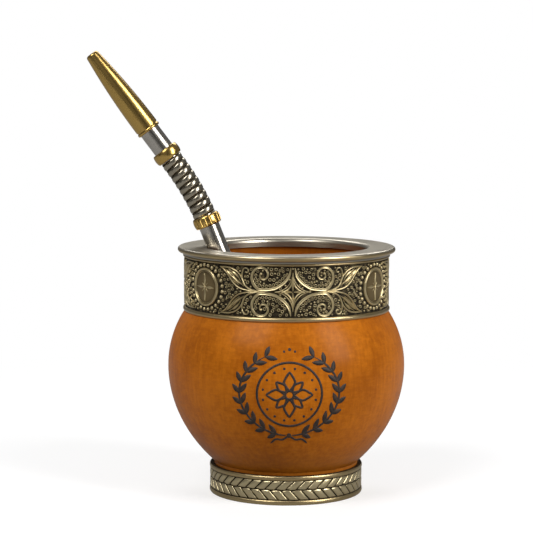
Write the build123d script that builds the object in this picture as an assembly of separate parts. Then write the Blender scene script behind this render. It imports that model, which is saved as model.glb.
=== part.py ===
"""A mate gourd with its drinking straw.

A turned wooden gourd stands in a shallow metal foot.  Its neck wears a metal collar band, and a
wide mouth ring caps the wood's rim.  A bent metal straw stands in it: it leans on the mouth ring's
rolled nose, and its strainer bulb stands on the gourd's floor.

Frame: millimetres, +Z up, origin at the centre of the foot's underside.  The straw leans towards -X.
"""

from build123d import *

import os
from math import acos, cos, degrees, pi, radians, sin, sqrt, tan

# ---------------------------------------------------------------- driving dimensions, millimetres

# Mouth ring: a flat flange, rolled into a skirt inside and into a lip and cove outside.
RIM_Z = 91.0            # top of the mouth ring
LIP_R = 40.0            # widest radius of the lip
LIP_NOSE = 0.95         # rounding of the lip
LIP_WRAP = 150          # degrees that the lip turns, from the flange's top to the cove
MOUTH_R = 29.5          # clear radius of the mouth
MOUTH_NOSE = 1.4        # rounding of the flange into the skirt
FLANGE_T = 1.0          # metal over the wood's rim
SKIRT_T = 0.9
SKIRT_DEPTH = 3.2       # flange top to the skirt's lower edge
CAP_DEPTH = 2.7         # flange top to the cove's lower edge, where the collar band starts

# Collar band: a straight sleeve between two small mouldings.
BAND_H = 20.9
BAND_T = 0.9
FIELD_R = 37.2          # ground of the ornament field
MOULDING_OUT = 0.85     # how far both mouldings stand out from the field
UPPER_MOULDING_H = 1.0
LOWER_MOULDING_H = 1.9

# Wooden body.
BELLY_R = 43.6
BELLY_Z = 47.2          # height of the widest turn
SHOULDER_OUT = 0.3      # step out from the ornament field to the wood below the band
FLANK_RUN = 66.5        # horizontal half axis of the lower flank's ellipse
FLANK_START = 1.0       # height of the flank's start over the foot
WALL_T = 5.6            # wood at the belly
FLOOR_Z = 11.5
FLOOR_R = 15.0          # flat part of the floor
THROAT_H = 17.0         # straight bore below the wood's rim

# Foot: a shallow cup.
FOOT_H = 10.6
FOOT_R = 28.3
FOOT_T = 1.2            # wall and floor
FOOT_FIELD_IN = 0.45    # how far the field lies back from the mouldings
FOOT_TOP_MOULDING_H = 1.6
FOOT_BASE_MOULDING_H = 1.75

# Straw.  Distances along it are measured from the middle of its bend.
TUBE_R = 3.8
TUBE_T = 0.6
LEAN_LOW = 21.6         # degrees from upright, below the bend
LEAN_HIGH = 37.05       # degrees from upright, above the bend
BEND_R = 95.0
BEND_OVER_RIM = 19.7    # height over the rim where the two straight axes would cross
TIP_AT = 63.0
MOUTHPIECE_L = 35.0
MOUTHPIECE_T = 0.55     # metal over the tube at the mouthpiece's base
TIP_R = 2.45
TIP_BORE_R = 1.35
TIP_ROUND = 0.8
SOCKET_DEPTH = 8.0      # how far the tube reaches into the mouthpiece
HEEL_LIP_L = 1.2        # rounded lip at the mouthpiece's lower end
HEEL_LIP_OUT = 0.12
HEEL_GROOVE_L = 0.5
HEEL_GROOVE_IN = 0.2
UPPER_BEAD_AT = 17.35
LOWER_BEAD_AT = -11.15
BEAD_L = 4.0
BEAD_OUT = 1.35         # how far a bead stands out from the tube
BEAD_SHOULDER_OUT = 0.7 # the same at the bead's flat ends
GADROONS = 18
GADROON_R = 0.42
COIL_TURNS = 9
COIL_OUT = 0.45         # how far the wound wire stands out from the tube
COIL_GROOVE_OUT = 0.25  # the same between two turns
COIL_PHASES = (0, 0.1, 0.25, 0.5, 0.75, 0.9)    # where a turn's rounding has its edges
BULB_R = 6.4
BULB_NECK_L = 9.0       # bulb's centre to where its straight neck starts
NECK_SLEEVE_L = 6.0
BULB_T = 0.8
HOLE_R = 0.7
HOLE_ROWS = (-50, -25, 0, 25)   # degrees above the bulb's widest turn
HOLES_PER_ROW = 12

# Clearances.
FIT = 0.1               # radial, metal on wood and sleeves on the tube
END_GAP = 0.15          # between neighbours along the straw
REST_GAP = 0.25         # straw to mouth ring
FLOOR_GAP = 0.1         # bulb to floor

# ------------------------------------------------------------------------------ derived dimensions

WOOD_TOP_Z = RIM_Z - FLANGE_T
BAND_TOP_Z = RIM_Z - CAP_DEPTH
BAND_BOTTOM_Z = BAND_TOP_Z - BAND_H
BAND_BORE_R = FIELD_R - BAND_T
NECK_R = BAND_BORE_R - FIT
SHOULDER_R = FIELD_R + SHOULDER_OUT
MOULDING_R = FIELD_R + MOULDING_OUT
SKIRT_R = MOUTH_R + SKIRT_T
THROAT_R = SKIRT_R + FIT
THROAT_Z = WOOD_TOP_Z - THROAT_H
INNER_BELLY_R = BELLY_R - WALL_T
FOOT_BORE_R = FOOT_R - FOOT_FIELD_IN - FOOT_T
SPIGOT_R = FOOT_BORE_R - FIT
FLANK_Z = FOOT_H + FLANK_START

SLEEVE_R = TUBE_R + FIT
HEEL_R = SLEEVE_R + MOUTHPIECE_T
HEEL_AT = TIP_AT - MOUTHPIECE_L
BULB_SLEEVE_R = SLEEVE_R + BULB_T
BEND_TURN = radians(LEAN_HIGH - LEAN_LOW)
BEND_HALF_L = BEND_R * BEND_TURN / 2
BEND_TANGENT_L = BEND_R * tan(BEND_TURN / 2)

# The lower axis passes the middle of the mouth ring's nose at the tube's radius and the rest gap.
NOSE_X = -(MOUTH_R + MOUTH_NOSE)
NOSE_Z = RIM_Z - MOUTH_NOSE
LOW_AXIS = Vector(-sin(radians(LEAN_LOW)), 0, cos(radians(LEAN_LOW)))
HIGH_AXIS = Vector(-sin(radians(LEAN_HIGH)), 0, cos(radians(LEAN_HIGH)))
BEND_Z = RIM_Z + BEND_OVER_RIM
BEND_X = (
    NOSE_X
    + (TUBE_R + REST_GAP + MOUTH_NOSE) / LOW_AXIS.Z
    + (BEND_Z - NOSE_Z) * LOW_AXIS.X / LOW_AXIS.Z
)
BEND = Vector(BEND_X, 0, BEND_Z)
BULB_Z = FLOOR_Z + FLOOR_GAP + BULB_R
BULB_AT = -(BEND_Z - BULB_Z) / LOW_AXIS.Z + BEND_TANGENT_L - BEND_HALF_L
TUBE_LOW_AT = BULB_AT + BULB_NECK_L
TUBE_HIGH_AT = HEEL_AT + SOCKET_DEPTH

# ------------------------------------------------------------------------------------- shape tools


def turned(*edges):
    """The solid made by turning a closed (radius, height) outline round the Z axis."""
    outline = Plane.XZ * make_face(Curve() + list(edges))
    return revolve(outline, Axis.Z)


def moulding(radius, z_low, z_high, out):
    """A half elliptical moulding on a turned outline, standing out from a radius."""
    middle_z = (z_low + z_high) / 2
    half_height = (z_high - z_low) / 2
    return EllipticalCenterArc((radius, middle_z), out, half_height, -90, arc_size=180)


def station(at):
    """The plane across the straw at a distance from the middle of its bend, facing its tip."""
    if abs(at) <= BEND_HALF_L:
        lean = radians(LEAN_LOW + LEAN_HIGH) / 2 + at / BEND_R
        bend_start = BEND - LOW_AXIS * BEND_TANGENT_L
        bend_centre = bend_start - Vector(LOW_AXIS.Z, 0, -LOW_AXIS.X) * BEND_R
        origin = bend_centre + Vector(cos(lean), 0, sin(lean)) * BEND_R
        return Plane(origin, x_dir=(0, 1, 0), z_dir=(-sin(lean), 0, cos(lean)))
    axis, side = (HIGH_AXIS, 1) if at > 0 else (LOW_AXIS, -1)
    along = BEND_TANGENT_L + abs(at) - BEND_HALF_L
    return Plane(BEND + axis * (along * side), x_dir=(0, 1, 0), z_dir=axis)


def on_straw(solid, at):
    """A solid turned round the Z axis, moved so that its origin lies on the straw's axis."""
    return station(at).location * solid


def straw_path(start, end):
    """The straw's axis between two distances from the middle of its bend."""
    bend_start = max(start, -BEND_HALF_L)
    bend_end = min(end, BEND_HALF_L)
    middle = station((bend_start + bend_end) / 2).origin
    edges = [ThreePointArc(station(bend_start).origin, middle, station(bend_end).origin)]
    if start < bend_start:
        edges.insert(0, Line(station(start).origin, station(bend_start).origin))
    if end > bend_end:
        edges.append(Line(station(bend_end).origin, station(end).origin))
    return Wire(edges)


def straw_pipe(outer_r, inner_r, start, end):
    """A round pipe along the straw's axis."""
    ring = Circle(outer_r) - Circle(inner_r) if inner_r else Circle(outer_r)
    return sweep(station(start) * ring, path=straw_path(start, end))


# ------------------------------------------------------------------------------------------- gourd


def gourd_body():
    """The turned wood: spigot, lower flank, belly, neck, and the hollow inside."""
    turn = acos(1 - (BELLY_R - SPIGOT_R) / FLANK_RUN)
    flank_rise = (BELLY_Z - FLANK_Z) / sin(turn)
    flank = EllipticalCenterArc(
        (BELLY_R - FLANK_RUN, BELLY_Z), FLANK_RUN, flank_rise, -degrees(turn), arc_size=degrees(turn)
    )
    shoulder = (SHOULDER_R, BAND_BOTTOM_Z)
    neck = (NECK_R, BAND_BOTTOM_Z)
    return turned(
        Line((0, FOOT_T), (SPIGOT_R, FOOT_T)),
        Line((SPIGOT_R, FOOT_T), (SPIGOT_R, FLANK_Z)),
        flank,
        TangentArc((BELLY_R, BELLY_Z), shoulder, tangent=(0, 1)),
        Line(shoulder, neck),
        Line(neck, (NECK_R, WOOD_TOP_Z)),
        Line((NECK_R, WOOD_TOP_Z), (THROAT_R, WOOD_TOP_Z)),
        Line((THROAT_R, WOOD_TOP_Z), (THROAT_R, THROAT_Z)),
        TangentArc((INNER_BELLY_R, BELLY_Z), (THROAT_R, THROAT_Z), tangent=(0, 1)),
        TangentArc((INNER_BELLY_R, BELLY_Z), (FLOOR_R, FLOOR_Z), tangent=(0, -1)),
        Line((FLOOR_R, FLOOR_Z), (0, FLOOR_Z)),
        Line((0, FLOOR_Z), (0, FOOT_T)),
    )


def mouth_ring():
    """The cap over the wood's rim: skirt, rolled nose, flange, lip and cove."""
    nose_r = MOUTH_R + MOUTH_NOSE
    lip_centre = (LIP_R - LIP_NOSE, RIM_Z - LIP_NOSE)
    lip = CenterArc(lip_centre, LIP_NOSE, 90, -LIP_WRAP)
    cove_foot = (MOULDING_R, BAND_TOP_Z)
    cap_bore_r = NECK_R + FIT
    skirt_z = RIM_Z - SKIRT_DEPTH
    return turned(
        Line((MOUTH_R, skirt_z), (MOUTH_R, NOSE_Z)),
        CenterArc((nose_r, NOSE_Z), MOUTH_NOSE, 180, -90),
        Line((nose_r, RIM_Z), (lip_centre[0], RIM_Z)),
        lip,
        TangentArc(cove_foot, lip @ 1, tangent=(0, 1)),
        Line(cove_foot, (cap_bore_r, BAND_TOP_Z)),
        Line((cap_bore_r, BAND_TOP_Z), (cap_bore_r, WOOD_TOP_Z)),
        Line((cap_bore_r, WOOD_TOP_Z), (SKIRT_R, WOOD_TOP_Z)),
        Line((SKIRT_R, WOOD_TOP_Z), (SKIRT_R, skirt_z)),
        Line((SKIRT_R, skirt_z), (MOUTH_R, skirt_z)),
    )


def banded_sleeve(bore_r, field_r, out, z_low, z_high, low_h, high_h):
    """The outline of a sleeve whose field lies between two half round mouldings."""
    return [
        Line((bore_r, z_high), (field_r, z_high)),
        moulding(field_r, z_high - high_h, z_high, out),
        Line((field_r, z_high - high_h), (field_r, z_low + low_h)),
        moulding(field_r, z_low, z_low + low_h, out),
    ]


def collar_band():
    """The sleeve round the neck, which carries the ornament."""
    sleeve = banded_sleeve(
        BAND_BORE_R, FIELD_R, MOULDING_OUT,
        BAND_BOTTOM_Z, BAND_TOP_Z, LOWER_MOULDING_H, UPPER_MOULDING_H,
    )
    return turned(
        *sleeve,
        Line((FIELD_R, BAND_BOTTOM_Z), (BAND_BORE_R, BAND_BOTTOM_Z)),
        Line((BAND_BORE_R, BAND_BOTTOM_Z), (BAND_BORE_R, BAND_TOP_Z)),
    )


def foot_cup():
    """The shallow cup under the gourd, with a flat underside."""
    field_r = FOOT_R - FOOT_FIELD_IN
    sleeve = banded_sleeve(
        FOOT_BORE_R, field_r, FOOT_FIELD_IN, 0, FOOT_H, FOOT_BASE_MOULDING_H, FOOT_TOP_MOULDING_H
    )
    return turned(
        *sleeve,
        Line((field_r, 0), (0, 0)),
        Line((0, 0), (0, FOOT_T)),
        Line((0, FOOT_T), (FOOT_BORE_R, FOOT_T)),
        Line((FOOT_BORE_R, FOOT_T), (FOOT_BORE_R, FOOT_H)),
    )


# ------------------------------------------------------------------------------------------- straw


def straw_tube():
    return straw_pipe(TUBE_R, TUBE_R - TUBE_T, TUBE_LOW_AT, TUBE_HIGH_AT)


def mouthpiece():
    """The tapering mouthpiece, turned round its own axis with its heel at the origin."""
    lip_r = HEEL_R + HEEL_LIP_OUT
    groove_r = HEEL_R - HEEL_GROOVE_IN
    body_z = HEEL_LIP_L + HEEL_GROOVE_L
    bore_r = TUBE_R - TUBE_T
    tip_z = MOUTHPIECE_L - TIP_ROUND
    flank = TangentArc((HEEL_R, body_z), (TIP_R, tip_z), tangent=(0, 1))
    crown_r = TIP_R - TIP_ROUND
    crown = TangentArc((TIP_R, tip_z), (crown_r, MOUTHPIECE_L), tangent=flank % 1)
    return turned(
        Line((SLEEVE_R, 0), (groove_r, 0)),
        ThreePointArc((groove_r, 0), (lip_r, HEEL_LIP_L / 2), (groove_r, HEEL_LIP_L)),
        Line((groove_r, HEEL_LIP_L), (groove_r, body_z)),
        Line((groove_r, body_z), (HEEL_R, body_z)),
        flank,
        crown,
        Line((crown_r, MOUTHPIECE_L), (TIP_BORE_R, MOUTHPIECE_L)),
        TangentArc((bore_r, SOCKET_DEPTH + END_GAP), (TIP_BORE_R, MOUTHPIECE_L), tangent=(0, 1)),
        Line((bore_r, SOCKET_DEPTH + END_GAP), (SLEEVE_R, SOCKET_DEPTH + END_GAP)),
        Line((SLEEVE_R, SOCKET_DEPTH + END_GAP), (SLEEVE_R, 0)),
    )


def bead():
    """A plain round bead, turned round its own axis with its middle at the origin."""
    end_r = TUBE_R + BEAD_SHOULDER_OUT
    half = BEAD_L / 2
    return turned(
        Line((SLEEVE_R, half), (end_r, half)),
        moulding(end_r, -half, half, BEAD_OUT - BEAD_SHOULDER_OUT),
        Line((end_r, -half), (SLEEVE_R, -half)),
        Line((SLEEVE_R, -half), (SLEEVE_R, half)),
    )


def gadrooned_bead():
    """The same bead with upright flutes cut round it."""
    flute = Cylinder(GADROON_R, BEAD_L * 2)
    return bead() - PolarLocations(TUBE_R + BEAD_OUT + GADROON_R / 4, GADROONS) * flute


def straw_coil():
    """The wire wound round the bend, as a thin sleeve with one rounded rib for each turn."""
    start = LOWER_BEAD_AT + BEAD_L / 2 + END_GAP
    end = UPPER_BEAD_AT - BEAD_L / 2 - END_GAP
    pitch = (end - start) / COIL_TURNS
    rings = []
    for turn in range(COIL_TURNS):
        for phase in COIL_PHASES:
            rise = (COIL_OUT - COIL_GROOVE_OUT) * sqrt(sin(pi * phase))
            circle = Wire.make_circle(TUBE_R + COIL_GROOVE_OUT + rise)
            rings.append(on_straw(circle, start + pitch * (turn + phase)))
    rings.append(on_straw(Wire.make_circle(TUBE_R + COIL_GROOVE_OUT), end))
    bore = straw_pipe(SLEEVE_R, 0, start - END_GAP, end + END_GAP)
    return loft([Face(ring) for ring in rings], ruled=True) - bore


def strainer_bulb():
    """The hollow bulb with rows of holes, turned round its own axis with the bulb's middle at 0."""
    top = BULB_NECK_L + NECK_SLEEVE_L
    inner_r = BULB_R - BULB_T
    inner_neck_r = TUBE_R - TUBE_T
    shell = turned(
        CenterArc((0, 0), BULB_R, -90, 90),
        TangentArc((BULB_R, 0), (BULB_SLEEVE_R, BULB_NECK_L), tangent=(0, 1)),
        Line((BULB_SLEEVE_R, BULB_NECK_L), (BULB_SLEEVE_R, top)),
        Line((BULB_SLEEVE_R, top), (SLEEVE_R, top)),
        Line((SLEEVE_R, top), (SLEEVE_R, BULB_NECK_L - END_GAP)),
        Line((SLEEVE_R, BULB_NECK_L - END_GAP), (inner_neck_r, BULB_NECK_L - END_GAP)),
        TangentArc((inner_r, 0), (inner_neck_r, BULB_NECK_L - END_GAP), tangent=(0, 1)),
        CenterArc((0, 0), inner_r, 0, -90),
        Line((0, -inner_r), (0, -BULB_R)),
    )
    drill = Pos(0, 0, BULB_R) * Cylinder(HOLE_R, BULB_R)
    for row, tilt in enumerate(HOLE_ROWS):
        for step in range(HOLES_PER_ROW):
            turn = 360 / HOLES_PER_ROW * (step + row % 2 / 2)
            shell -= Rot(0, 0, turn) * Rot(0, 90 - tilt, 0) * drill
    return shell


NODES = {
    "gourd_body": gourd_body(),
    "mouth_ring": mouth_ring(),
    "collar_band": collar_band(),
    "foot_cup": foot_cup(),
    "straw_tube": straw_tube(),
    "straw_mouthpiece": on_straw(mouthpiece(), HEEL_AT),
    "straw_upper_bead": on_straw(bead(), UPPER_BEAD_AT),
    "straw_lower_bead": on_straw(gadrooned_bead(), LOWER_BEAD_AT),
    "straw_coil": straw_coil(),
    "straw_strainer": on_straw(strainer_bulb(), BULB_AT),
}

os.makedirs("parts", exist_ok=True)
for name, solid in NODES.items():
    export_step(solid, f"parts/{name}.step")
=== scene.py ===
"""The looks of a mate gourd with a metal straw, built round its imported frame.

The ornament is modelled flat, in millimetres along and up the metal band, and then wrapped round
it.  Every other length in this file is in millimetres too, and turns to metres as a mesh is made.
"""

import math

import bmesh
import bpy
import numpy as np
from mathutils import Matrix, Vector, kdtree


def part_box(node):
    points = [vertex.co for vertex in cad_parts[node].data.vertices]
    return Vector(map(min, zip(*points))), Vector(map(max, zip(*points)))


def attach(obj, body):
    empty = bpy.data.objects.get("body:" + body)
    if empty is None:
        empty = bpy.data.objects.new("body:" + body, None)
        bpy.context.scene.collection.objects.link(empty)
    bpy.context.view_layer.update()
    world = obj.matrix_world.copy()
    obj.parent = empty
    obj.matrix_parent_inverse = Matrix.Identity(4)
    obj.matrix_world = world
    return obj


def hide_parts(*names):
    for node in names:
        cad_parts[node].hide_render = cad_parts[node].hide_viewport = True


bl_info = {
    "name": "Mate Gourd Looks",
    "version": (1, 0, 0),
    "blender": (4, 5, 0),
    "location": "3D View > Sidebar > Gourd",
    "description": "Finishes and ornament for a mate gourd with a metal straw",
    "category": "Object",
}

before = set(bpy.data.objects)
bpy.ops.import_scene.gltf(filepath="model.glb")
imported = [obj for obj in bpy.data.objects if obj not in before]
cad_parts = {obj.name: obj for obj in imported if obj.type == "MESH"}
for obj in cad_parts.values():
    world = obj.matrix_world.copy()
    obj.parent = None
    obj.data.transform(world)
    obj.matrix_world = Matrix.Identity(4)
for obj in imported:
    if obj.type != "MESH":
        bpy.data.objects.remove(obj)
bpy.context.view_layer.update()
MM = 0.001

# --------------------------------------------------------------------- sizes, in millimetres

FIELD_R = 37.2              # ground of the collar's ornament
FIELD_LOW_Z = 69.3
FIELD_HIGH_Z = 87.3
STAR_TURN = 3.5             # degrees from the front to the first star
FRONT_HALF_TURN = 54.5      # degrees from a star to the medallions beside it, at the front
SINK = 0.12                 # how far ornament reaches into its ground
SCROLL_U, SCROLL_V = 10.7, 5.8      # a spiral's centre, from its star
SCROLL_R, SCROLL_SHRINK = 5.35, 0.71  # its first radius, and its share left a quarter turn on
LEAF_NODE = 14.0            # where the leaves start, from the star
LEAF_CLEAR = 8.0            # what a leaf leaves free before the medallion
MEDALLION_R = 6.45
MEDALLION_V = 0.15          # a medallion's centre, above the middle line
DISH_R = 6.3
BEADS = 25                  # round each medallion
BEAD_RING = (8.75, 7.95)
FILLER_CLEAR = (9.7, 8.9)   # what the filling leaves free round a medallion
FILLER_SIZES = ((0.62, 700), (0.5, 1500), (0.36, 2000))  # radius, and how many tries

FOOT_FIELD_R = 27.85
TILE_LOW_Z = 1.95
TILE_MIDDLE_Z = 5.6
TILE_HIGH_Z = 8.85

BELLY_R = 43.6
BELLY_Z = 47.2
FLANK_RUN = 66.5
FLANK_RISE = 53.86
SHOULDER_ARC_R = 36.5
EMBLEM_Z = 42.8
EMBLEM_TURN = 1.6           # degrees round from the front
EMBLEM_LIFT = 0.05
WREATH_U, WREATH_V = 18.2, 15.4     # half the wreath's width and height

CAMERA_SPOT = (0, -0.75112, 0.164609)  # metres
CAMERA_LENS = 138.58
CAMERA_TURNS = (6.177, 0.562, 0.143)   # degrees down, to the left, and rolled

TUBE_R = 3.8
LEAN_LOW = math.radians(21.6)
LEAN_HIGH = math.radians(37.05)
BEND_R = 95.0
UPPER_BEAD_AT = 17.35       # along the straw, from the middle of its bend
COIL_START = -9.0
COIL_END = 15.2


# ------------------------------------------------------------------------------ flat drawing


def smooth_line(points, step=0.3):
    """An even line of points along a smooth curve through the given ones."""
    p = np.array(points, float)
    p = np.vstack([2 * p[0] - p[1], p, 2 * p[-1] - p[-2]])
    pieces = []
    for a, b, c, d in zip(p, p[1:], p[2:], p[3:]):
        t = np.linspace(0, 1, 16, endpoint=False)[:, None]
        pieces.append(
            0.5 * (2 * b + (c - a) * t + (2 * a - 5 * b + 4 * c - d) * t**2
                   + (3 * b - a - 3 * c + d) * t**3)
        )
    dense = np.vstack([*pieces, p[-2:-1]])
    return even_line(dense, step)


def even_line(dense, step=0.3):
    """The same line with its points a step apart."""
    along = np.concatenate([[0], np.cumsum(np.linalg.norm(np.diff(dense, axis=0), axis=1))])
    count = max(4, int(along[-1] / step) + 1)
    places = np.linspace(0, along[-1], count)
    return np.column_stack([np.interp(places, along, dense[:, i]) for i in range(2)])


def hollow_quarter(u, v):
    """A quarter of an ellipse, hollow towards the origin, from (0, v) to (u, 0)."""
    a = np.linspace(0, math.pi / 2, 24)
    return even_line(np.column_stack([u - u * np.cos(a), v - v * np.sin(a)]))


def circle_line(centre, radius, step=0.3):
    """A closed round line, without its last point."""
    count = max(8, int(2 * math.pi * radius / step))
    a = np.arange(count) * 2 * math.pi / count
    return np.column_stack([centre[0] + radius * np.cos(a), centre[1] + radius * np.sin(a)])


def beside(line, offset):
    """The line moved sideways, to its left where the offset is positive."""
    along = np.gradient(line, axis=0)
    along /= np.linalg.norm(along, axis=1)[:, None]
    return line + np.column_stack([-along[:, 1], along[:, 0]]) * offset


def scroll_line():
    """A stem from the star's point down to the middle line and round into a spiral."""
    a = np.radians([0, 18, 36, 54, 70])
    stem = np.column_stack([SCROLL_U - (SCROLL_U - 0.75) * np.cos(a), 8.5 - 8.0 * np.sin(a)])
    turn = np.radians(np.arange(8, 500, 18))
    radius = SCROLL_R * SCROLL_SHRINK ** (turn / (math.pi / 2))
    spiral = np.column_stack([SCROLL_U + radius * np.sin(turn), SCROLL_V - radius * np.cos(turn)])
    return smooth_line(np.vstack([stem, spiral]), 0.25)


# Sections of a raised line: how far out from its middle, and how high.
ROUND = ((-1, -1), (-0.92, 0.35), (-0.55, 0.85), (0, 1), (0.55, 0.85), (0.92, 0.35), (1, -1))
ROLLED = ((-1, -1), (-0.9, 0.6), (-0.66, 1), (-0.4, 0.72), (0, 0.6), (0.4, 0.72), (0.66, 1),
          (0.9, 0.6), (1, -1))
BLADE = ((-1, -1), (-0.9, 0.2), (-0.12, 0.95), (0.12, 0.95), (0.9, 0.2), (1, -1))
FLAT = ((-1, -1), (-0.96, 0.9), (0, 1), (0.96, 0.9), (1, -1))


class Relief:
    """Raised lines, beads and rings drawn on a flat field, to be wrapped into one mesh."""

    def __init__(self):
        self.vertices, self.faces, self.count = [], [], 0
        self.taken = []

    def add(self, vertices, faces):
        self.vertices.append(vertices)
        self.faces.extend([tuple(int(i) + self.count for i in face) for face in faces])
        self.count += len(vertices)

    def line(self, line, width, height, section=ROUND, closed=False, taper=(1, 1)):
        """A raised line of one width, or of a width for each point, thinning to its ends."""
        rows, ring = len(line), len(section)
        grow = np.ones(rows)
        if not closed:
            t = np.linspace(0, 1, rows)
            grow = np.minimum(1, np.minimum(taper[0] + t * 6, taper[1] + (1 - t) * 6))
            along = np.gradient(line, axis=0)
        else:
            along = np.roll(line, -1, axis=0) - np.roll(line, 1, axis=0)
        along /= np.maximum(np.linalg.norm(along, axis=1), 1e-9)[:, None]
        side = np.column_stack([-along[:, 1], along[:, 0]])
        half = np.broadcast_to(width, rows) / 2 * grow
        out, up = np.array(section, float).T
        flat = line[:, None, :] + side[:, None, :] * (half[:, None] * out)[:, :, None]
        raised = np.where(up > 0, up * (height * np.sqrt(grow))[:, None], -SINK)
        points = np.dstack([flat, raised]).reshape(-1, 3)
        faces = [
            (r * ring + k, r * ring + (k + 1) % ring,
             (r + 1) % rows * ring + (k + 1) % ring, (r + 1) % rows * ring + k)
            for r in range(rows if closed else rows - 1) for k in range(ring)
        ]
        if not closed:
            faces += [tuple(range(ring)), tuple((rows - 1) * ring + k for k in range(ring))]
        self.add(points, faces)
        self.taken.append(np.column_stack([line, half]))

    def bead(self, centre, radius, height, sides=10):
        """A low dome."""
        rings = ((1, -1), (0.95, 0.3), (0.7, 0.75), (0.35, 0.96))
        a = np.arange(sides) * 2 * math.pi / sides
        rows = [
            np.column_stack([
                centre[0] + radius * r * np.cos(a), centre[1] + radius * r * np.sin(a),
                np.full(sides, height * h if h > 0 else -SINK)])
            for r, h in rings
        ]
        points = np.vstack([*rows, [[centre[0], centre[1], height]]])
        faces = [
            (r * sides + k, r * sides + (k + 1) % sides,
             (r + 1) * sides + (k + 1) % sides, (r + 1) * sides + k)
            for r in range(len(rings) - 1) for k in range(sides)
        ]
        top = (len(rings) - 1) * sides
        faces += [(top + k, top + (k + 1) % sides, len(points) - 1) for k in range(sides)]
        faces.append(tuple(range(sides)))
        self.add(points, faces)
        self.taken.append(np.array([[centre[0], centre[1], radius]]))

    def ring(self, centre, radius, height, sides=12):
        """A small ring with a hole."""
        thick = radius * 0.46
        section = ((-1, -1), (-0.7, 0.75), (0, 1), (0.7, 0.75), (1, -1))
        line = circle_line(centre, radius - thick / 2, step=2 * math.pi * radius / sides)
        self.line(line, thick, height, section, closed=True)
        self.taken.append(np.array([[centre[0], centre[1], radius]]))

    def mesh(self, name, place):
        """One smooth closed mesh, with each point put in place by a function."""
        points = place(np.vstack(self.vertices)) * MM
        mesh = bpy.data.meshes.new(name)
        mesh.from_pydata(points.tolist(), [], self.faces)
        return finish_mesh(mesh)


def finish_mesh(mesh):
    """The mesh with its faces turned outwards, in an object that rides on the gourd."""
    tidy = bmesh.new()
    tidy.from_mesh(mesh)
    bmesh.ops.recalc_face_normals(tidy, faces=tidy.faces)
    tidy.to_mesh(mesh)
    tidy.free()
    mesh.shade_smooth()
    piece = bpy.data.objects.new(mesh.name, mesh)
    bpy.context.scene.collection.objects.link(piece)
    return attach(piece, "root")


def dress(piece, material):
    """A piece's material."""
    piece.data.materials.clear()
    piece.data.materials.append(material)
    return piece


def round_band(turn, middle_z, radius):
    """A function that wraps flat points round a band, starting from a turn in degrees."""
    def place(points):
        angle = math.radians(turn) + points[:, 0] / radius
        out = radius + points[:, 2]
        return np.column_stack([
            out * np.sin(angle), -out * np.cos(angle), middle_z + points[:, 1]])
    return place


# ------------------------------------------------------------------------- collar's ornament

COLLAR_MIDDLE_Z = (FIELD_LOW_Z + FIELD_HIGH_Z) / 2
FRONT_HALF = math.radians(FRONT_HALF_TURN) * FIELD_R
BACK_HALF_TURN = (360 - 2 * FRONT_HALF_TURN) / 4
BACK_HALF = math.radians(BACK_HALF_TURN) * FIELD_R
# Each sector: its star's turn in degrees, and the arc from there to its medallions.
SECTORS = (
    (STAR_TURN, FRONT_HALF),
    (STAR_TURN + FRONT_HALF_TURN + BACK_HALF_TURN, BACK_HALF),
    (STAR_TURN - FRONT_HALF_TURN - BACK_HALF_TURN, BACK_HALF),
)
MIRRORS = ((1, 1), (-1, 1), (1, -1), (-1, -1))


def leaf_lines(reach):
    """The lines of a leaf and its tendril, above the middle line.  reach stretches it sideways."""
    def stretched(points):
        return smooth_line([(LEAF_NODE + (u - LEAF_NODE) * reach, v) for u, v in points])

    upper = stretched([(12.2, 0.15), (15.2, 0.75), (17.3, 2.2), (18.6, 5.0), (20.4, 6.9),
                       (23.2, 8.0), (27.6, 8.2)])
    lower = stretched([(13.2, 0.1), (16.6, 0.4), (19.8, 1.3), (22.1, 3.1), (23.8, 5.3),
                       (25.4, 7.1), (27.6, 8.2)])
    rib = stretched([(17.6, 1.7), (20.0, 3.7), (22.4, 5.9), (25.2, 7.5)])
    veins = [
        stretched([(18.8, 3.2), (20.0, 5.3), (21.8, 7.0)]),
        stretched([(20.7, 5.2), (22.2, 6.6), (24.0, 7.6)]),
        stretched([(19.4, 2.0), (21.5, 3.6), (22.9, 5.6)]),
    ]
    blades = [
        stretched([(19.4, 4.4), (20.7, 5.7), (22.3, 6.9)]),
        stretched([(18.9, 2.4), (20.9, 3.9), (22.6, 5.4)]),
        stretched([(22.0, 4.4), (23.2, 5.6), (24.6, 6.9)]),
    ]
    tendril = stretched([(17.8, 2.9), (18.3, 4.9), (18.2, 6.9), (17.5, 8.1), (16.4, 8.1),
                         (15.9, 7.3), (16.4, 6.6), (17.0, 6.9)])
    return upper, lower, rib, veins, blades, tendril


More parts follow.
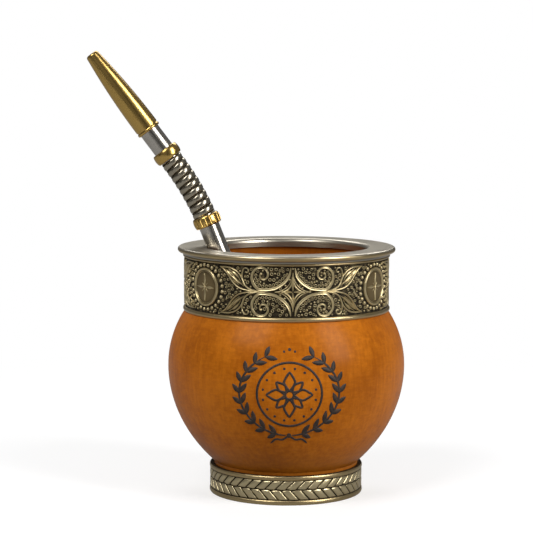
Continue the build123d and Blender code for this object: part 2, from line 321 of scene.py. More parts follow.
def draw_scrollwork(relief, reach):
    """The star, its scrolls and the leaves of one sector, about its star."""
    scroll = scroll_line()
    share = np.linspace(0, 1, len(scroll))
    scroll_width = np.interp(share, [0, 0.1, 0.45, 0.8, 1], [0.75, 1.15, 1.15, 0.8, 0.55])
    upper, lower, rib, veins, blades, tendril = leaf_lines(reach)
    for side, rise in MIRRORS:
        mirror = np.array([side, rise])
        relief.line(scroll * mirror, scroll_width, 0.62, ROLLED, taper=(0.5, 0.7))
        relief.bead(scroll[-1] * mirror, 0.52, 0.55)
        for u, v, width, height in ((6.4, 6.9, 0.36, 0.46), (4.15, 5.2, 0.6, 0.55)):
            relief.line(hollow_quarter(u, v) * mirror, width, height, taper=(0.6, 0.6))
        relief.line(upper * mirror, 0.62, 0.56, taper=(0.3, 0.4))
        relief.line(lower * mirror, 0.56, 0.56, taper=(0.3, 0.4))
        relief.line(rib * mirror, 0.36, 0.5, taper=(0.3, 0.2))
        relief.line(tendril * mirror, 0.5, 0.5, taper=(0.2, 0.8))
        for vein in veins:
            relief.line(vein * mirror, 0.26, 0.4, taper=(0.2, 0.1))
        for blade in blades:
            bulge = np.sin(np.linspace(0.1, math.pi - 0.1, len(blade)))
            relief.line(blade * mirror, 1.0 * bulge, 0.42, BLADE)
        inner = beside(scroll, 1.32)[int(len(scroll) * 0.1):int(len(scroll) * 0.62)]
        for place in even_line(inner, 1.28):
            relief.ring(place * mirror, 0.58, 0.52)
    for side in (1, -1):
        tail = smooth_line([(side * u, v) for u, v in ((9.6, 0), (11.8, 0), (14.6, 0))])
        relief.line(tail, 0.5, 0.5, BLADE, taper=(0.1, 0.1))
    for angle, length in ((0, 3.5), (90, 4.4), (180, 3.5), (270, 4.4)):
        draw_petal(relief, (0, 0), angle, length, 0.95, 0.45)


def draw_petal(relief, centre, angle, length, width, height):
    """A pointed petal out from a centre."""
    a = math.radians(angle)
    run = np.linspace(0.25, length, 14)[:, None]
    line = np.array(centre) + run * np.array([math.cos(a), math.sin(a)])
    share = run[:, 0] / length
    shape = np.interp(share, [0, 0.3, 0.52, 0.75, 1], [0.25, 0.6, 1, 0.6, 0.08])
    relief.line(line, width * shape, height, BLADE)


def draw_medallion(relief, centre):
    """A rim, a fleury cross and its rays, with beads round them."""
    relief.line(circle_line(centre, MEDALLION_R), 0.95, 0.7, closed=True)
    relief.line(circle_line(centre, 5.75), 0.25, 0.3, closed=True)
    for angle in (0, 90, 180, 270):
        draw_petal(relief, centre, angle, 4.9, 1.75, 0.62)
        a = math.radians(angle + 45)
        ray = np.array([[0.5, 0.5], [2.35, 2.35]]) * [math.cos(a), math.sin(a)] + centre
        relief.line(even_line(ray), 0.3, 0.4, taper=(1, 0.1))
    relief.bead(centre, 0.62, 0.72)
    for i in range(BEADS):
        a = 2 * math.pi * (i + 0.5) / BEADS
        spot = (centre[0] + BEAD_RING[0] * math.cos(a), centre[1] + BEAD_RING[1] * math.sin(a))
        relief.bead(spot, 0.72, 0.6, 12)


def draw_filler(relief, half, seed):
    """Small rings, beads and commas in what room a sector's lines leave."""
    draw = np.random.default_rng(seed)
    lines = np.vstack(relief.taken)
    tree = kdtree.KDTree(len(lines))
    for i, (u, v, _) in enumerate(lines):
        tree.insert((u, v, 0), i)
    tree.balance()
    filler = Relief()
    placed = np.array([[1e6, 1e6, 0.0]])
    limit = (FIELD_HIGH_Z - FIELD_LOW_Z) / 2
    for radius, tries in FILLER_SIZES:
        for u, v in draw.uniform((-half, -limit), (half, limit), (tries, 2)):
            beyond = math.hypot((half - abs(u)) / FILLER_CLEAR[0], (v - MEDALLION_V) / FILLER_CLEAR[1])
            if abs(v) > limit - radius - 0.08 or beyond < 1:
                continue
            near = tree.find_n((u, v, 0), 3)
            if min(d - lines[i, 2] for _, i, d in near) < radius + 0.07:
                continue
            if (np.hypot(placed[:, 0] - u, placed[:, 1] - v) - placed[:, 2]).min() < radius + 0.07:
                continue
            placed = np.vstack([placed, [u, v, radius]])
            if radius > 0.4:
                filler.ring((u, v), radius, 0.52)
            elif abs(u) > LEAF_NODE + 6 and draw.random() < 0.45:
                a = draw.uniform(0, 2 * math.pi) + np.array([0, 1.3, 2.6])
                comma = np.column_stack([np.cos(a), np.sin(a)]) * radius * 0.9 + (u, v)
                filler.line(smooth_line(comma, 0.2), 0.26, 0.4, taper=(0.9, 0.2))
            else:
                filler.bead((u, v), radius, 0.48, 8)
    return filler


# ----------------------------------------------------------------------------------- straw


def station(at):
    """The straw's axis at a distance from the middle of its bend: a point and its direction."""
    half = BEND_R * (LEAN_HIGH - LEAN_LOW) / 2
    lean = (LEAN_LOW + LEAN_HIGH) / 2 + np.clip(at, -half, half) / BEND_R
    out = np.stack([np.cos(lean), np.zeros_like(lean), np.sin(lean)], -1)
    up = np.stack([-np.sin(lean), np.zeros_like(lean), np.cos(lean)], -1)
    past = (at - np.clip(at, -half, half))[..., None]
    return bend_centre() + out * BEND_R + up * past, out, up


def bend_centre():
    """The centre of the bend's arc, from the upper bead's place in the frame."""
    low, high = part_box("straw_upper_bead")
    bead = (Vector(low) + Vector(high)) / 2 / MM
    past = UPPER_BEAD_AT - BEND_R * (LEAN_HIGH - LEAN_LOW) / 2
    out = np.array([math.cos(LEAN_HIGH), 0, math.sin(LEAN_HIGH)])
    up = np.array([-math.sin(LEAN_HIGH), 0, math.cos(LEAN_HIGH)])
    return np.array(bead) - up * past - out * BEND_R



def wound(turns, width, height, section, offset=0.0, sides=56, twist=None):
    """A strip wound round the straw's bend, as points and faces."""
    pitch = (COIL_END - COIL_START) / turns
    steps = int((turns + 1) * sides)
    angle = np.linspace(0, 2 * math.pi * (turns + 1), steps)
    middle = COIL_START - pitch / 2 + (offset + angle / (2 * math.pi)) * pitch
    out, up = np.array(section, float).T
    at = middle[:, None] + out * width / 2
    raised = TUBE_R + np.where(up > 0, up * height, -SINK)
    raised = np.broadcast_to(raised, at.shape).copy()
    if twist:
        at, raised = twist(angle, middle)
    squeezed = (at < COIL_START) | (at > COIL_END)
    at = np.clip(at, COIL_START, COIL_END)
    raised = np.where(squeezed, np.minimum(raised, TUBE_R + height * 0.2), raised)
    point, side, _ = station(at)
    turn = angle[:, None, None]
    across = np.array([0.0, 1.0, 0.0])
    points = point + raised[..., None] * (np.cos(turn) * -across + np.sin(turn) * side)
    rows, ring = at.shape
    faces = [
        (r * ring + k, r * ring + (k + 1) % ring, (r + 1) * ring + (k + 1) % ring, (r + 1) * ring + k)
        for r in range(rows - 1) for k in range(ring)
    ]
    faces += [tuple(range(ring)), tuple((rows - 1) * ring + k for k in range(ring))]
    return points.reshape(-1, 3), faces


# -------------------------------------------------------------------------------- emblem


def belly_radius(z):
    """The gourd's outer radius at heights on its belly."""
    fall = np.abs(z - BELLY_Z)
    lower = BELLY_R - FLANK_RUN * (1 - np.sqrt(1 - (fall / FLANK_RISE) ** 2))
    upper = BELLY_R - SHOULDER_ARC_R + np.sqrt(SHOULDER_ARC_R**2 - fall**2)
    return np.where(z < BELLY_Z, lower, upper)


def on_belly(points):
    """Flat points wrapped on the belly at the emblem's place."""
    z = EMBLEM_Z + points[:, 1] * 0.985
    out = belly_radius(z)
    angle = math.radians(EMBLEM_TURN) + points[:, 0] / BELLY_R
    out = out + points[:, 2]
    return np.column_stack([out * np.sin(angle), -out * np.cos(angle), z])


def draw_emblem():
    """A burnt wreath of two sprigs round a rosette, in flat lines."""
    art = Relief()
    lift = EMBLEM_LIFT
    for side in (1, -1):
        arc = np.radians(np.linspace(-86, 62, 60))
        stem = np.column_stack([side * WREATH_U * np.cos(arc), WREATH_V * np.sin(arc)])
        art.line(even_line(stem), 0.8, lift, FLAT, taper=(0.4, 0.2))
        for angle in range(-74, 62, 15):
            a = math.radians(angle)
            foot = np.array([side * WREATH_U * math.cos(a), WREATH_V * math.sin(a)])
            for lean, length in ((38, 4.6), (-40, 4.0)):
                b = a + math.radians(90 + lean)
                run = np.linspace(0, 1, 12)[:, None] * length
                leaf = foot + run * np.array([side * math.cos(b), math.sin(b)])
                width = 1.8 * np.sin(np.linspace(0.12, math.pi - 0.05, 12)) ** 0.8
                art.line(leaf, width, lift, FLAT)
    art.bead((0, -WREATH_V), 0.95, lift, 14)
    for side in (1, -1):
        ribbon = smooth_line([(0, -WREATH_V), (side * 2.6, -17.0), (side * 5.2, -16.9),
                              (side * 7.6, -18.6)])
        art.line(ribbon, 0.75, lift, FLAT, taper=(0.6, 0.3))
    for k in range(8):
        a = math.radians(45 * k)
        tip = 8.4 if k % 2 == 0 else 6.8
        half = 1.8 if k % 2 == 0 else 1.25
        for side in (1, -1):
            mid = 0.55 * tip
            petal = [(1.4, 0), (mid * 0.8, side * half * 0.9), (mid * 1.15, side * half),
                     (tip, 0)]
            turned = [(u * math.cos(a) - v * math.sin(a), u * math.sin(a) + v * math.cos(a))
                      for u, v in petal]
            art.line(smooth_line(turned), 0.85, lift, FLAT, taper=(0.7, 0.4))
    art.line(circle_line((0, 0), 1.5), 0.8, lift, FLAT, closed=True)
    for k in range(16):
        a = math.radians(22.5 * k + 11.25)
        art.bead((9.6 * math.cos(a), 9.6 * math.sin(a)), 0.5, lift, 10)
    art.line(circle_line((0, 0), 11.6), 0.85, lift, FLAT, closed=True)
    for k in range(3):
        art.bead(((k - 1) * 2.0, WREATH_V + (0.7 if k == 1 else 0)), 0.62 if k == 1 else 0.45, lift, 12)
    return art


# ------------------------------------------------------------------------------ foot's tiles


def draw_tiles(count):
    """Two rows of slanted tiles, closed up in a zigzag."""
    tiles = Relief()
    pitch = 2 * math.pi * FOOT_FIELD_R / count
    gap = 0.58
    slant = 3.1
    share = np.array([0, 0.05, 0.16, 0.5, 0.84, 0.95, 1])
    lift = np.array([-1, 0.55, 0.9, 1, 0.9, 0.55, -1])
    for i in range(count):
        for row in (1, -1):
            far_z = TILE_HIGH_Z if row > 0 else TILE_LOW_Z
            near = TILE_MIDDLE_Z + row * gap * 0.45
            start = pitch * (i + (0 if row > 0 else 0.5))
            s, t = np.meshgrid(share, share, indexing="ij")
            hook = 0.42 * np.sin((s - 0.15) * math.pi) * (1 - t) * row
            u = start + gap / 2 + s * (pitch - gap) + t * slant
            z = near + t * (far_z - near) - hook * 0.6
            h = np.minimum(lift[:, None], lift[None, :])
            h = np.where(h > 0, h * 0.3 + (s - 0.5) * 0.07, -SINK)
            n = len(share)
            faces = [(a * n + b, (a + 1) * n + b, (a + 1) * n + b + 1, a * n + b + 1)
                     for a in range(n - 1) for b in range(n - 1)]
            rim = ([b for b in range(n)] + [a * n + n - 1 for a in range(1, n)]
                   + [(n - 1) * n + b for b in range(n - 2, -1, -1)]
                   + [a * n for a in range(n - 2, 0, -1)])
            tiles.add(np.column_stack([u.ravel(), z.ravel(), h.ravel()]), faces + [tuple(rim)])
    return tiles


# --------------------------------------------------------------------------------- shaders


class Value:
    """A shader socket that Python's arithmetic works on."""

    def __init__(self, graph, socket):
        self.graph, self.socket = graph, socket

    def math(self, operation, *others):
        node = self.graph.node("ShaderNodeMath", {"operation": operation}, self, *others)
        return node.out()

    def __add__(self, other):
        return self.math("ADD", other)

    def __sub__(self, other):
        return self.math("SUBTRACT", other)

    def __rsub__(self, other):
        return Value.math(self * -1, "ADD", other)

    def __mul__(self, other):
        return self.math("MULTIPLY", other)

    def __pow__(self, other):
        return self.math("POWER", other)

    __radd__, __rmul__ = __add__, __mul__

    def step(self, low, high):
        """0 below low and 1 above high, smooth between."""
        settings = {"interpolation_type": "SMOOTHSTEP"}
        return self.graph.node("ShaderNodeMapRange", settings, self, low, high, 0.0, 1.0).out()


class Made:
    """A node whose outputs come back as Values."""

    def __init__(self, graph, node):
        self.graph, self.node = graph, node

    def out(self, name=0):
        return Value(self.graph, self.node.outputs[name])


class Graph:
    """The nodes of one material or world."""

    def __init__(self, owner):
        owner.use_nodes = True
        self.tree = owner.node_tree
        self.tree.nodes.clear()

    def node(self, kind, settings=None, *values, **named):
        """A new node: its settings, then its sockets in order, then its sockets by name."""
        node = self.tree.nodes.new(kind)
        for key, value in (settings or {}).items():
            if key == "stops":
                self.set_stops(node.color_ramp, value)
            else:
                setattr(node, key, value)
        for socket, value in zip(node.inputs, values):
            self.feed(socket, value)
        for name, value in named.items():
            self.feed(node.inputs[name.replace("_", " ")], value)
        return Made(self, node)

    def set_stops(self, ramp, stops):
        while len(ramp.elements) < len(stops):
            ramp.elements.new(0.5)
        for element, (place, color) in zip(ramp.elements, stops):
            element.position = place
            element.color = (*color, 1)

    def feed(self, socket, value):
        if isinstance(value, Value):
            self.tree.links.new(value.socket, socket)
        elif value is not None:
            if socket.type == "RGBA" and len(value) == 3:
                value = (*value, 1)
            socket.default_value = value

    def place(self):
        """The object's own coordinates, in millimetres: x, y, z and the distance from the axis."""
        spot = self.node("ShaderNodeTexCoord").out("Object")
        parts = self.node("ShaderNodeSeparateXYZ", None, spot)
        x, y, z = (parts.out(i) * 1000 for i in range(3))
        return x, y, z, (x * x + y * y) ** 0.5

    def vector(self, x, y, z):
        return self.node("ShaderNodeCombineXYZ", None, x, y, z).out()

    def noise(self, vector, scale, detail=3.0, rough=0.5):
        return self.node(
            "ShaderNodeTexNoise", None, Vector=vector, Scale=scale, Detail=detail, Roughness=rough
        ).out("Fac")

    def blend(self, factor, a, b):
        """A colour between two."""
        node = self.node("ShaderNodeMix", {"data_type": "RGBA"})
        self.feed(node.node.inputs[0], factor)
        self.feed(node.node.inputs[6], a)
        self.feed(node.node.inputs[7], b)
        return node.out(2)

    def bump(self, height, strength, distance):
        return self.node(
            "ShaderNodeBump", None, Strength=strength, Distance=distance, Height=height
        ).out()

    def finish(self, **sockets):
        """The material's surface, from the named sockets of one Principled shader."""
        surface = self.node("ShaderNodeBsdfPrincipled", None, **sockets).out()
        self.node("ShaderNodeOutputMaterial", None, Surface=surface)


def new_graph(name):
    material = bpy.data.materials.new(name)
    return material, Graph(material)


def wood_material(settings):
    """Turned wood: warm mottling, fine flecks and an oiled sheen, with painted shade inside the mouth.
    """
    material, g = new_graph("gourd_wood")
    x, y, z, radius = g.place()
    cloud = g.noise(g.vector(x, y, z * 0.8), 0.045, 4.0, 0.6)
    fleck = g.noise(g.vector(x * 0.35, y * 0.35, z * 1.2), 0.9, 5.0, 0.65)
    grain = g.noise(g.vector(x * 1.4, y * 1.4, z * 0.12), 0.55, 4.0, 0.6)
    shade = cloud * 0.5 + fleck * 0.28 + grain * 0.3
    tone = shade.step(0.40, 0.68)
    color = g.blend(tone, settings.wood_dark, settings.wood_light)
    pore = g.noise(g.vector(x * 2.2, y * 2.2, z * 0.9), 1.5, 2.0, 0.5).step(0.64, 0.74)
    color = g.blend(pore * 0.35, color, (0.10, 0.035, 0.008))
    # Darker towards the bottom, near the foot.
    low = (z * -1).step(-26.0, -9.0)
    color = g.blend(low * 0.35, color, (0.20, 0.075, 0.012))
    # Painted shade: the wood inside the mouth is darkened to stand in for the shade that falls there.
    inside = (radius * -1).step(-37.5, -36.9) * z.step(60.0, 66.0)
    color = g.blend(inside * 0.55, color, (0.12, 0.03, 0.004))
    g.finish(
        Base_Color=color,
        Specular_IOR_Level=0.22,
        Specular_Tint=(1.0, 0.5, 0.16),
        Roughness=0.34 + fleck * 0.14,
        Normal=g.bump(fleck * 0.5 + grain * 0.5, 0.12, 0.0004),
        Coat_Weight=0.07,
        Coat_Roughness=0.22,
    )
    return material


def patina_material(name, settings, ground, full, bright):
    """Old brass: dark in the ground, brighter with height over it, with fine wear."""
    material, g = new_graph(name)
    x, y, z, radius = g.place()
    wear = g.noise(g.vector(x, y, z), 0.7, 4.0, 0.6)
    fine = g.noise(g.vector(x, y, z), 4.0, 3.0, 0.6)
    height = radius - ground + (wear - 0.5) * 0.14
    lit = height.step(full * 0.4, full * 0.98)
    color = g.blend(lit, settings.patina, bright)
    color = g.blend(wear.step(0.45, 0.75) * 0.35, color, settings.brass_worn)
    g.finish(
        Base_Color=color,
        Metallic=0.75 + lit * 0.25,
        Roughness=0.62 - lit * 0.3 + (fine - 0.5) * 0.12,
        Normal=g.bump(fine * 0.6 + wear * 0.4, 0.35, 0.0002),
    )
    return material


def mouth_material(settings):
    """The mouth ring: satin grey on top, warmer brass on its outer edge, with painted shade in the
    crease under its lip.
    """
    material, g = new_graph("mouth_metal")
    x, y, z, radius = g.place()
    turn = x.math("ARCTAN2", y)
    brushed = g.noise(g.vector(radius * 3.0, turn * 1.5, z * 3.0), 1.0, 3.0, 0.6)
    cloud = g.noise(g.vector(x, y, z), 0.12, 3.0, 0.5)
    side = radius.step(38.4, 39.4) * (z * -1).step(-90.9, -90.2)
    color = g.blend(side, settings.nickel, settings.brass)
    # Painted shade: a dark line in the crease under the lip, in the patina's colour.
    crease_shade = (z * -1).step(-89.3, -88.9) * z.step(88.2, 88.9) * radius.step(37.5, 38.0)
    color = g.blend(crease_shade * 0.6, color, settings.patina)
    g.finish(
        Base_Color=color,
        Metallic=1.0,
        Roughness=0.27 + cloud * 0.12 + (brushed - 0.5) * 0.1,
        Normal=g.bump(brushed, 0.12, 0.0001),
    )
    return material


def polished_material(name, color, roughness, tint=0.0, warm=(0.2, 0.12, 0.04)):
    """Polished metal with a breath of unevenness."""
    material, g = new_graph(name)
    x, y, z, _ = g.place()
    cloud = g.noise(g.vector(x, y, z), 0.25, 3.0, 0.5)
    g.finish(
        Base_Color=g.blend(cloud.step(0.35, 0.75) * tint, color, warm),
        Metallic=1.0,
        Roughness=roughness + (cloud - 0.5) * 0.06,
    )
    return material


def burnt_material():
    """Wood burnt nearly black, a little browner where the burn is light."""
    material, g = new_graph("burnt_wood")
    x, y, z, _ = g.place()
    uneven = g.noise(g.vector(x, y, z), 0.8, 4.0, 0.6)
    g.finish(
        Base_Color=g.blend(uneven.step(0.4, 0.7), (0.016, 0.010, 0.007), (0.05, 0.024, 0.012)),
        Roughness=0.5 + uneven * 0.2,
        Normal=g.bump(uneven, 0.2, 0.0002),
    )
    return material


# ------------------------------------------------------------------------------- settings


def color_property(name, description, default):
    return bpy.props.FloatVectorProperty(
        name=name, description=description, default=default, size=3, subtype="COLOR", min=0, max=1
    )


class GourdSettings(bpy.types.PropertyGroup):
    """Sizes and colours of the gourd's finishes."""

    wood_light: color_property("Wood, light", "Light tone of the wood", (0.52, 0.150, 0.007))
    wood_dark: color_property("Wood, dark", "Dark tone of the wood", (0.33, 0.083, 0.003))
    brass: color_property("Brass", "Bright tone of the collar and foot", (0.50, 0.385, 0.20))
    brass_worn: color_property("Worn brass", "Duller tone of the brass", (0.42, 0.33, 0.17))
    nickel: color_property("Mouth ring", "Tone of the ring's flat top", (0.47, 0.43, 0.35))
    patina: color_property("Patina", "Dark tone in the ground", (0.020, 0.015, 0.008))
    gold: color_property("Gold", "Tone of the mouthpiece and beads", (0.56, 0.37, 0.11))
    steel: color_property("Steel", "Tone of the straw's tube", (0.50, 0.47, 0.42))
    tile_count: bpy.props.IntProperty(
        name="Tiles", description="Tiles in each row of the foot", default=46, min=8, max=120
    )
    coil_turns: bpy.props.IntProperty(
        name="Coil turns", description="Turns of wire round the straw's bend", default=9, min=2
    )
    lamp_power: bpy.props.FloatProperty(
        name="Lamps", description="Strength of the lamps", default=1.2, min=0, subtype="FACTOR"
    )


# ------------------------------------------------------------------------------- operators


class GourdOperator:
    """What every operator here shares."""

    bl_options = {"REGISTER", "UNDO"}

    def execute(self, context):
        self.build(context.scene.gourd)
        return {"FINISHED"}


def finish_node(name, material):
    """A CAD node's own surface, in a new material."""
    dress(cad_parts[name], material)


class GOURD_OT_wood(GourdOperator, bpy.types.Operator):
    """Finish the turned wood"""

    bl_idname = "gourd.wood"
    bl_label = "Wood"

    def build(self, settings):
        finish_node("gourd_body", wood_material(settings))


class GOURD_OT_metalwork(GourdOperator, bpy.types.Operator):
    """Finish the mouth ring, the collar's ground and the foot's ground"""

    bl_idname = "gourd.metalwork"
    bl_label = "Metalwork"

    def build(self, settings):
        finish_node("mouth_ring", mouth_material(settings))
        collar = patina_material("collar_metal", settings, FIELD_R, 0.5, settings.brass)
        foot = patina_material("foot_metal", settings, FOOT_FIELD_R, 0.28, settings.brass)
        finish_node("collar_band", collar)
        finish_node("foot_cup", foot)


class GOURD_OT_collar(GourdOperator, bpy.types.Operator):
    """Raise the collar's scrolls, leaves, medallions and filling"""

    bl_idname = "gourd.collar"
    bl_label = "Collar ornament"

    def build(self, settings):
        metal = bpy.data.materials["collar_metal"]
        for index, (turn, half) in enumerate(SECTORS):
            place = round_band(turn, COLLAR_MIDDLE_Z, FIELD_R)
            reach = (half - LEAF_NODE - LEAF_CLEAR) / (FRONT_HALF - LEAF_NODE - LEAF_CLEAR)
            lines = Relief()
            draw_scrollwork(lines, reach)
            rims = Relief()
            for side in (1, -1):
                draw_medallion(rims, (side * half, MEDALLION_V))
            around = Relief()
            around.taken = lines.taken + rims.taken
            filler = draw_filler(around, half, 11 + index)
            owned = Relief()
            draw_medallion(owned, (half, MEDALLION_V))
            dress(lines.mesh(f"collar_scrolls_{index}", place), metal)
            dress(owned.mesh(f"collar_medallion_{index}", place), metal)
            dress(filler.mesh(f"collar_filling_{index}", place), metal)
            dress(self.dish(index, half, place), dish_material(settings))

    def dish(self, index, half, place):
        """The smooth field inside a medallion's rim."""
        rings, sides = 12, 64
        radius = np.linspace(0.5, DISH_R, rings)
        a = np.arange(sides) * 2 * math.pi / sides
        lift = 0.30 - 0.16 * (radius / DISH_R) ** 4
        rows = [np.column_stack([half + r * np.cos(a), MEDALLION_V + r * np.sin(a),
                                 np.full(sides, h)])
                for r, h in zip(radius, lift)]
        rows.append(rows[-1] * [1, 1, 0] - [0, 0, SINK])
        dish = Relief()
        faces = [(r * sides + k, r * sides + (k + 1) % sides,
                  (r + 1) * sides + (k + 1) % sides, (r + 1) * sides + k)
                 for r in range(rings) for k in range(sides)]
        faces += [tuple(range(sides)), tuple(rings * sides + k for k in range(sides))]
        dish.add(np.vstack(rows), faces)
        return dish.mesh(f"collar_dish_{index}", place)


def dish_material(settings):
    """The medallion's field: brown brass, darkest at its rim, with patina and painted shade there."""
    material, g = new_graph("medallion_field")
    x, y, z, radius = g.place()
    cloud = g.noise(g.vector(x, y, z), 0.5, 4.0, 0.6)
    # Darker towards the rim: patina in the field's low edge, and painted shade beside the raised rim.
    lit = (radius - FIELD_R + (cloud - 0.5) * 0.05).step(0.12, 0.30)
    g.finish(
        Base_Color=g.blend(lit, (0.07, 0.05, 0.022), (0.26, 0.19, 0.09)),
        Metallic=0.9,
        Roughness=0.42 + cloud * 0.1,
        Normal=g.bump(cloud, 0.1, 0.0002),
    )
    return material


class GOURD_OT_foot(GourdOperator, bpy.types.Operator):
    """Raise the foot's herringbone tiles"""

    bl_idname = "gourd.foot"
    bl_label = "Foot tiles"

    def build(self, settings):
        place = round_band(0, 0, FOOT_FIELD_R)
        piece = draw_tiles(settings.tile_count).mesh("foot_tiles", place)
        dress(piece, bpy.data.materials["foot_metal"])


class GOURD_OT_emblem(GourdOperator, bpy.types.Operator):
    """Burn the wreath into the gourd's front"""

    bl_idname = "gourd.emblem"
    bl_label = "Burnt emblem"

    def build(self, settings):
        piece = draw_emblem().mesh("burnt_emblem", on_belly)
        dress(piece, burnt_material())


class GOURD_OT_straw(GourdOperator, bpy.types.Operator):
    """Finish the straw, wind its wire and paint shade into the grooves between its turns"""

    bl_idname = "gourd.straw"
    bl_label = "Straw"

    def build(self, settings):
        steel = polished_material("straw_steel", settings.steel, 0.22, 0.3, (0.38, 0.34, 0.28))
        gold = polished_material("straw_gold", settings.gold, 0.24, 0.25, (0.52, 0.30, 0.08))
        wire = polished_material("straw_wire", (0.40, 0.36, 0.28), 0.26, 0.4, (0.30, 0.25, 0.18))
        # The groove's dark colour is painted shade, for the shade between the turns of wire.
        groove = polished_material("straw_groove_shade", (0.10, 0.08, 0.05), 0.45, 0.4, (0.03, 0.02, 0.01))
        for name in ("straw_tube", "straw_strainer"):
            finish_node(name, steel)
        for name in ("straw_mouthpiece", "straw_upper_bead", "straw_lower_bead"):
            finish_node(name, gold)
        turns = settings.coil_turns
        pitch = (COIL_END - COIL_START) / turns
        coil = Relief()
        coil.add(*wound(turns, pitch * 0.88, 0.47, ROUND))
        piece = dress(coil.mesh("straw_winding", lambda points: points), wire)
        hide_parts("straw_coil")
        # Painted shade: a dark sheet under the wire, seen only in the gaps between its turns.
        groove_shade_sheet = Relief()
        groove_shade_sheet.add(*wound(turns, pitch * 1.02, 0.05, FLAT))
        dress(groove_shade_sheet.mesh("straw_groove_shade", lambda points: points), groove)
        twine = Relief()
        for strand in range(2):
            twine.add(*self.strand(turns, strand))
        # The twine takes the same dark painted-shade colour of the groove.
        dress(twine.mesh("straw_twine", lambda points: points), groove)

    def strand(self, turns, which):
        """One strand of the thin twine in the groove between the turns of wire."""
        around = np.arange(5) * 2 * math.pi / 5

        def twist(angle, middle):
            swirl = angle * 22 + which * math.pi
            at = middle + np.cos(swirl) * 0.1
            out = TUBE_R + 0.16 + np.sin(swirl) * 0.1
            return (at[:, None] + np.cos(around) * 0.11, out[:, None] + np.sin(around) * 0.11)

        section = [(math.cos(a), math.sin(a)) for a in around]
        return wound(turns, 0.22, 0.3, section, offset=0.5, sides=150, twist=twist)


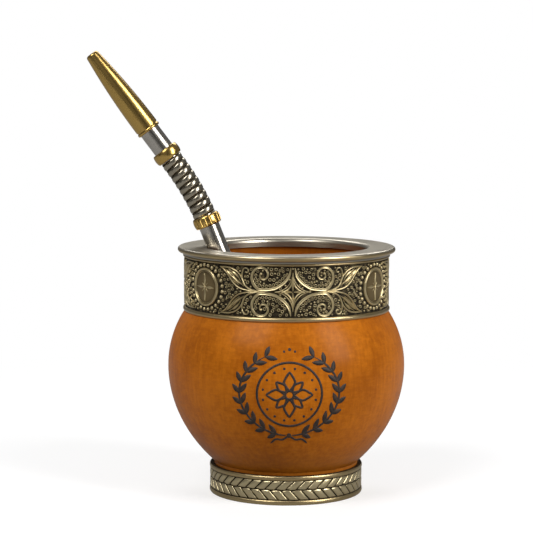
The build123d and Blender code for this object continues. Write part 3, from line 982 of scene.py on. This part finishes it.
class GOURD_OT_stage(GourdOperator, bpy.types.Operator):
    """Set the floor, the lamps, the surroundings and the camera"""

    bl_idname = "gourd.stage"
    bl_label = "Stage"

    def build(self, settings):
        self.floor()
        self.world()
        self.lamps(settings.lamp_power)
        self.camera()
        bpy.context.scene.view_settings.view_transform = "Standard"

    def floor(self):
        """A white floor that keeps the object's shadow and fades to plain white."""
        bpy.ops.mesh.primitive_circle_add(vertices=96, radius=4.0, fill_type="NGON")
        floor = bpy.context.object
        floor.name = "floor"
        material, g = new_graph("floor_white")
        _, _, _, radius = g.place()
        path = g.node("ShaderNodeLightPath")
        plain = g.node("ShaderNodeBsdfDiffuse", None, Color=(0.35, 0.35, 0.35)).out()
        shaded = g.node("ShaderNodeBsdfDiffuse", None, Color=(0.5, 0.5, 0.5)).out()
        glow = g.node("ShaderNodeEmission", None, Color=(1, 1, 1), Strength=0.52).out()
        near = g.node("ShaderNodeAddShader", None, shaded, glow).out()
        far = g.node("ShaderNodeEmission", None, Color=(1, 1, 1), Strength=1.0).out()
        seen = g.node("ShaderNodeMixShader", None, radius.step(90.0, 330.0), near, far).out()
        surface = g.node("ShaderNodeMixShader", None, path.out("Is Camera Ray"), plain, seen).out()
        g.node("ShaderNodeOutputMaterial", None, Surface=surface)
        floor.data.materials.append(material)

    def world(self):
        world = bpy.data.worlds.new("studio")
        bpy.context.scene.world = world
        g = Graph(world)
        path = g.node("ShaderNodeLightPath")
        soft = g.node("ShaderNodeBackground", None, (1, 1, 1, 1), 0.16).out()
        white = g.node("ShaderNodeBackground", None, (1, 1, 1, 1), 1.0).out()
        surface = g.node("ShaderNodeMixShader", None, path.out("Is Camera Ray"), soft, white)
        g.node("ShaderNodeOutputWorld", None, Surface=surface.out())

    def lamps(self, power):
        """Soft boxes, and dark cards that only reflections see."""
        for name, spot, size, watts in (
            ("key", (-0.50, -0.55, 0.80), (0.55, 0.55), 6.0),
            ("side", (0.70, -0.50, 0.55), (0.35, 0.7), 6.5),
            ("back", (0.00, 0.75, 0.75), (0.9, 0.4), 4.0),
        ):
            data = bpy.data.lights.new(name, "AREA")
            data.shape = "RECTANGLE"
            data.size, data.size_y = size
            data.energy = watts * power
            lamp = bpy.data.objects.new(name, data)
            lamp.location = spot
            aim = Vector((0, 0, 0.06)) - Vector(spot)
            lamp.rotation_euler = aim.to_track_quat("-Z", "Y").to_euler()
            bpy.context.scene.collection.objects.link(lamp)
        material, g = new_graph("dark_card")
        g.finish(Base_Color=(0.02, 0.018, 0.015), Roughness=0.9)
        for name, turn, distance, width, tall, middle in (
            ("card_left", -62, 0.55, 0.22, 0.9, 0.35),
            ("card_front", 8, 0.95, 0.22, 0.8, 0.45),
            ("card_right", 88, 0.60, 0.20, 0.9, 0.35),
            ("card_back", 170, 0.80, 0.50, 0.5, 0.30),
        ):
            a = math.radians(turn)
            centre = Vector((distance * math.sin(a), -distance * math.cos(a), middle))
            across = Vector((math.cos(a), math.sin(a), 0)) * width / 2
            rise = Vector((0, 0, tall / 2))
            corners = [centre - across - rise, centre + across - rise, centre + across + rise,
                       centre - across + rise]
            mesh = bpy.data.meshes.new(name)
            mesh.from_pydata(corners, [], [(0, 1, 2, 3)])
            card = bpy.data.objects.new(name, mesh)
            card.data.materials.append(material)
            bpy.context.scene.collection.objects.link(card)
            card.visible_camera = card.visible_diffuse = card.visible_shadow = False

    def camera(self):
        """A long lens, a little above the rim, looking slightly down."""
        pitch, yaw, roll = (math.radians(a) for a in CAMERA_TURNS)
        forward = Vector((-math.sin(yaw) * math.cos(pitch), math.cos(yaw) * math.cos(pitch),
                          -math.sin(pitch)))
        level = Vector((math.cos(yaw), math.sin(yaw), 0))
        upright = level.cross(forward)
        right = level * math.cos(roll) + upright * math.sin(roll)
        up = upright * math.cos(roll) - level * math.sin(roll)
        data = bpy.data.cameras.new("camera")
        data.sensor_width = 36
        data.lens = CAMERA_LENS
        camera = bpy.data.objects.new("camera", data)
        turn = Matrix((right, up, -forward)).transposed().to_4x4()
        camera.matrix_world = Matrix.Translation(CAMERA_SPOT) @ turn
        bpy.context.scene.collection.objects.link(camera)
        bpy.context.scene.camera = camera


class GOURD_PT_panel(bpy.types.Panel):
    """The gourd's settings and operators"""

    bl_idname = "GOURD_PT_panel"
    bl_label = "Gourd"
    bl_space_type = "VIEW_3D"
    bl_region_type = "UI"
    bl_category = "Gourd"

    def draw(self, context):
        for name in GourdSettings.__annotations__:
            self.layout.prop(context.scene.gourd, name)
        for operator in OPERATORS:
            self.layout.operator(operator.bl_idname)


OPERATORS = (
    GOURD_OT_stage,
    GOURD_OT_wood,
    GOURD_OT_metalwork,
    GOURD_OT_collar,
    GOURD_OT_foot,
    GOURD_OT_emblem,
    GOURD_OT_straw,
)
CLASSES = (GourdSettings, *OPERATORS, GOURD_PT_panel)


def register():
    for cls in CLASSES:
        bpy.utils.register_class(cls)
    bpy.types.Scene.gourd = bpy.props.PointerProperty(type=GourdSettings)


def unregister():
    del bpy.types.Scene.gourd
    for cls in reversed(CLASSES):
        bpy.utils.unregister_class(cls)


def main():
    register()
    for operator in OPERATORS:
        group, name = operator.bl_idname.split(".")
        getattr(getattr(bpy.ops, group), name)()


if __name__ == "__main__":
    main()
